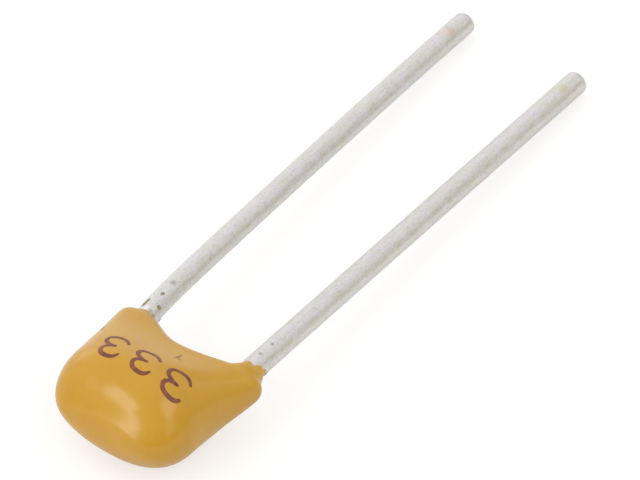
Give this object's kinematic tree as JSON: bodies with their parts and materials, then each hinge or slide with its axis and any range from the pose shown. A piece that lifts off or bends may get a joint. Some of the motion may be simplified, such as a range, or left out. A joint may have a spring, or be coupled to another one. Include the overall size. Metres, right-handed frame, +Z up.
{
  "type": "radial ceramic capacitor",
  "caption": "Multilayer ceramic capacitor dipped in golden-yellow epoxy, with a rounded drop-shaped body and long straight tinned wire leads for through-hole mounting.",
  "frame": {"origin": "on the surface that the part lies on, below the middle of its box and midway between the leads", "axes": "+X from the left lead to the right one, +Y along the leads towards their tips, +Z up; the part lies on its belly and on the tips of its leads"},
  "size_m": [0.0035, 0.0142, 0.0023],
  "materials": {
    "golden_epoxy": "glossy dipped epoxy",
    "tinned_wire": "dull tin plating",
    "fired_ceramic": "matte fired ceramic",
    "plated_termination": "satin plating",
    "tin_solder": "satin solder",
    "nickel_electrode": "satin fired metal"
  },
  "bodies": {
    "root": {"epoxy_coating": "golden_epoxy", "lead_left": "tinned_wire", "lead_right": "tinned_wire", "ceramic_chip": "fired_ceramic", "termination_left": "plated_termination", "termination_right": "plated_termination", "solder_left": "tin_solder", "solder_right": "tin_solder", "electrode_1": "nickel_electrode", "electrode_2": "nickel_electrode", "electrode_3": "nickel_electrode", "electrode_4": "nickel_electrode", "electrode_5": "nickel_electrode", "electrode_6": "nickel_electrode", "electrode_7": "nickel_electrode", "electrode_8": "nickel_electrode"}
  },
  "joints": []
}
